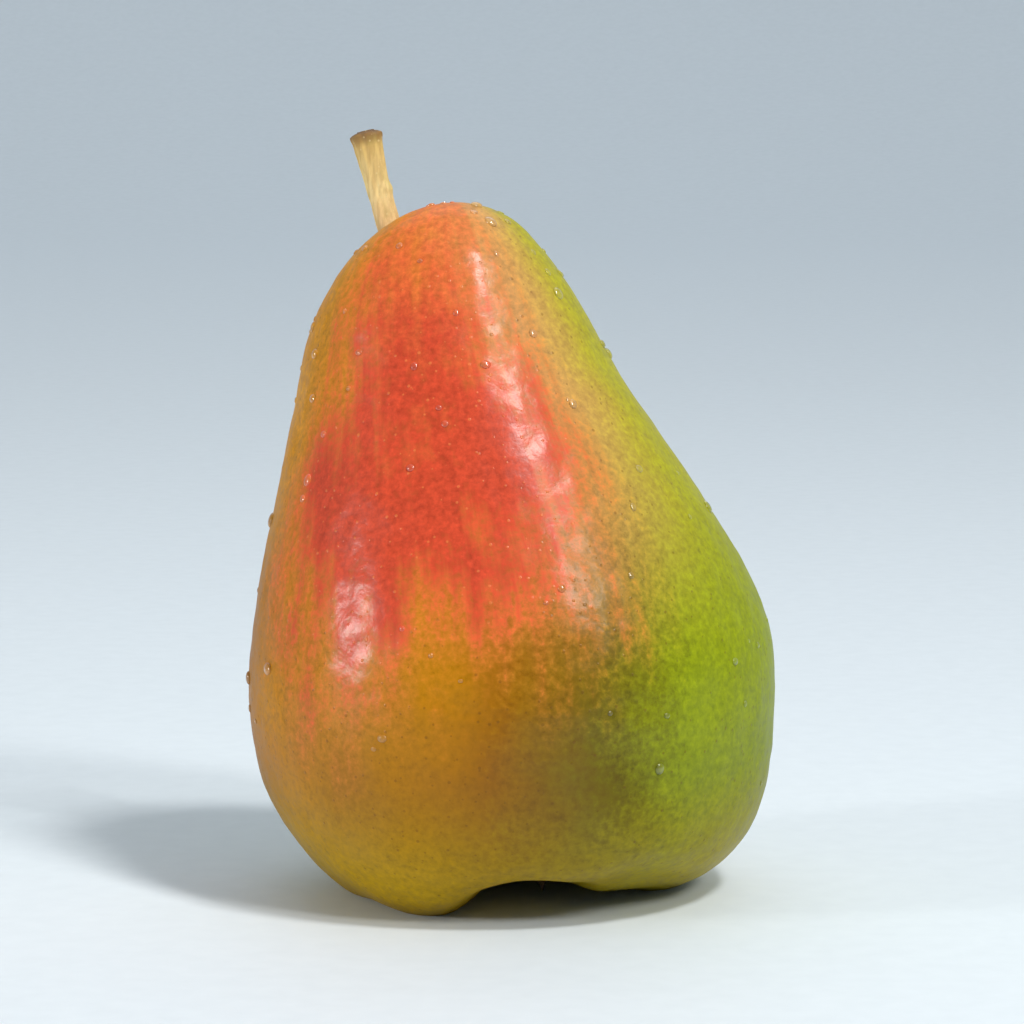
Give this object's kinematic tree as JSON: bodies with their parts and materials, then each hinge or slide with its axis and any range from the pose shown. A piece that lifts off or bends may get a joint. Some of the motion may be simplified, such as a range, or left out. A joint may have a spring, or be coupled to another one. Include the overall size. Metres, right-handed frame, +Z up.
{
  "type": "pear",
  "caption": "Ripe pear with a leaning neck, a blushed cheek, a woody stem and a dried calyx, standing on its blossom end.",
  "frame": {"origin": "centre of the bounding box in the plane of the flat spot that the pear rests on", "axes": "+Z up from the blossom end to the stem; the blushed cheek faces -Y; the neck leans towards -X and a little +Y"},
  "size_m": [0.0704, 0.0696, 0.1013],
  "materials": {
    "skin": "satin",
    "stem_wood": "matte",
    "dry_calyx": "matte"
  },
  "bodies": {
    "root": {"pear_body": "skin", "stem": "stem_wood", "calyx_cup": "dry_calyx", "sepal_1": "dry_calyx", "sepal_2": "dry_calyx", "sepal_3": "dry_calyx", "sepal_4": "dry_calyx", "sepal_5": "dry_calyx"}
  },
  "joints": []
}
